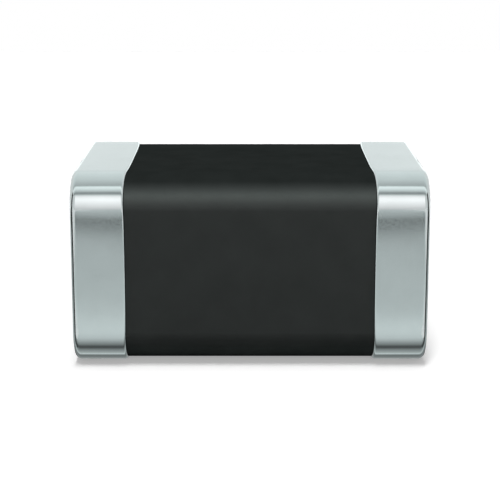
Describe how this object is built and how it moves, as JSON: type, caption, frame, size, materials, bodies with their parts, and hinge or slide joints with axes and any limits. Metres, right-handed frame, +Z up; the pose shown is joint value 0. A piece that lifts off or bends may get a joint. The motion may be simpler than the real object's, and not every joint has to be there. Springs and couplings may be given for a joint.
{
  "type": "multilayer varistor",
  "caption": "Surface-mount multilayer varistor: a black ceramic block with rounded edges, layered inner electrodes and a tin-plated termination on each end.",
  "frame": {"origin": "centre of the chip's underside, on the board's surface", "axes": "+X from the left termination to the right one, along the length; +Y across the width; +Z up, away from the board"},
  "size_m": [0.0044, 0.0032, 0.0025],
  "materials": {
    "zinc_oxide_ceramic": "satin",
    "silver_palladium": "satin",
    "fired_silver": "satin",
    "nickel_plate": "satin",
    "tin_plate": "satin"
  },
  "bodies": {
    "root": {"ceramic_body": "zinc_oxide_ceramic", "inner_electrode_01": "silver_palladium", "inner_electrode_02": "silver_palladium", "inner_electrode_03": "silver_palladium", "inner_electrode_04": "silver_palladium", "inner_electrode_05": "silver_palladium", "inner_electrode_06": "silver_palladium", "inner_electrode_07": "silver_palladium", "inner_electrode_08": "silver_palladium", "inner_electrode_09": "silver_palladium", "inner_electrode_10": "silver_palladium", "inner_electrode_11": "silver_palladium", "inner_electrode_12": "silver_palladium", "inner_electrode_13": "silver_palladium", "inner_electrode_14": "silver_palladium", "silver_base_left": "fired_silver", "silver_base_right": "fired_silver", "nickel_barrier_left": "nickel_plate", "nickel_barrier_right": "nickel_plate", "tin_finish_left": "tin_plate", "tin_finish_right": "tin_plate"}
  },
  "joints": []
}
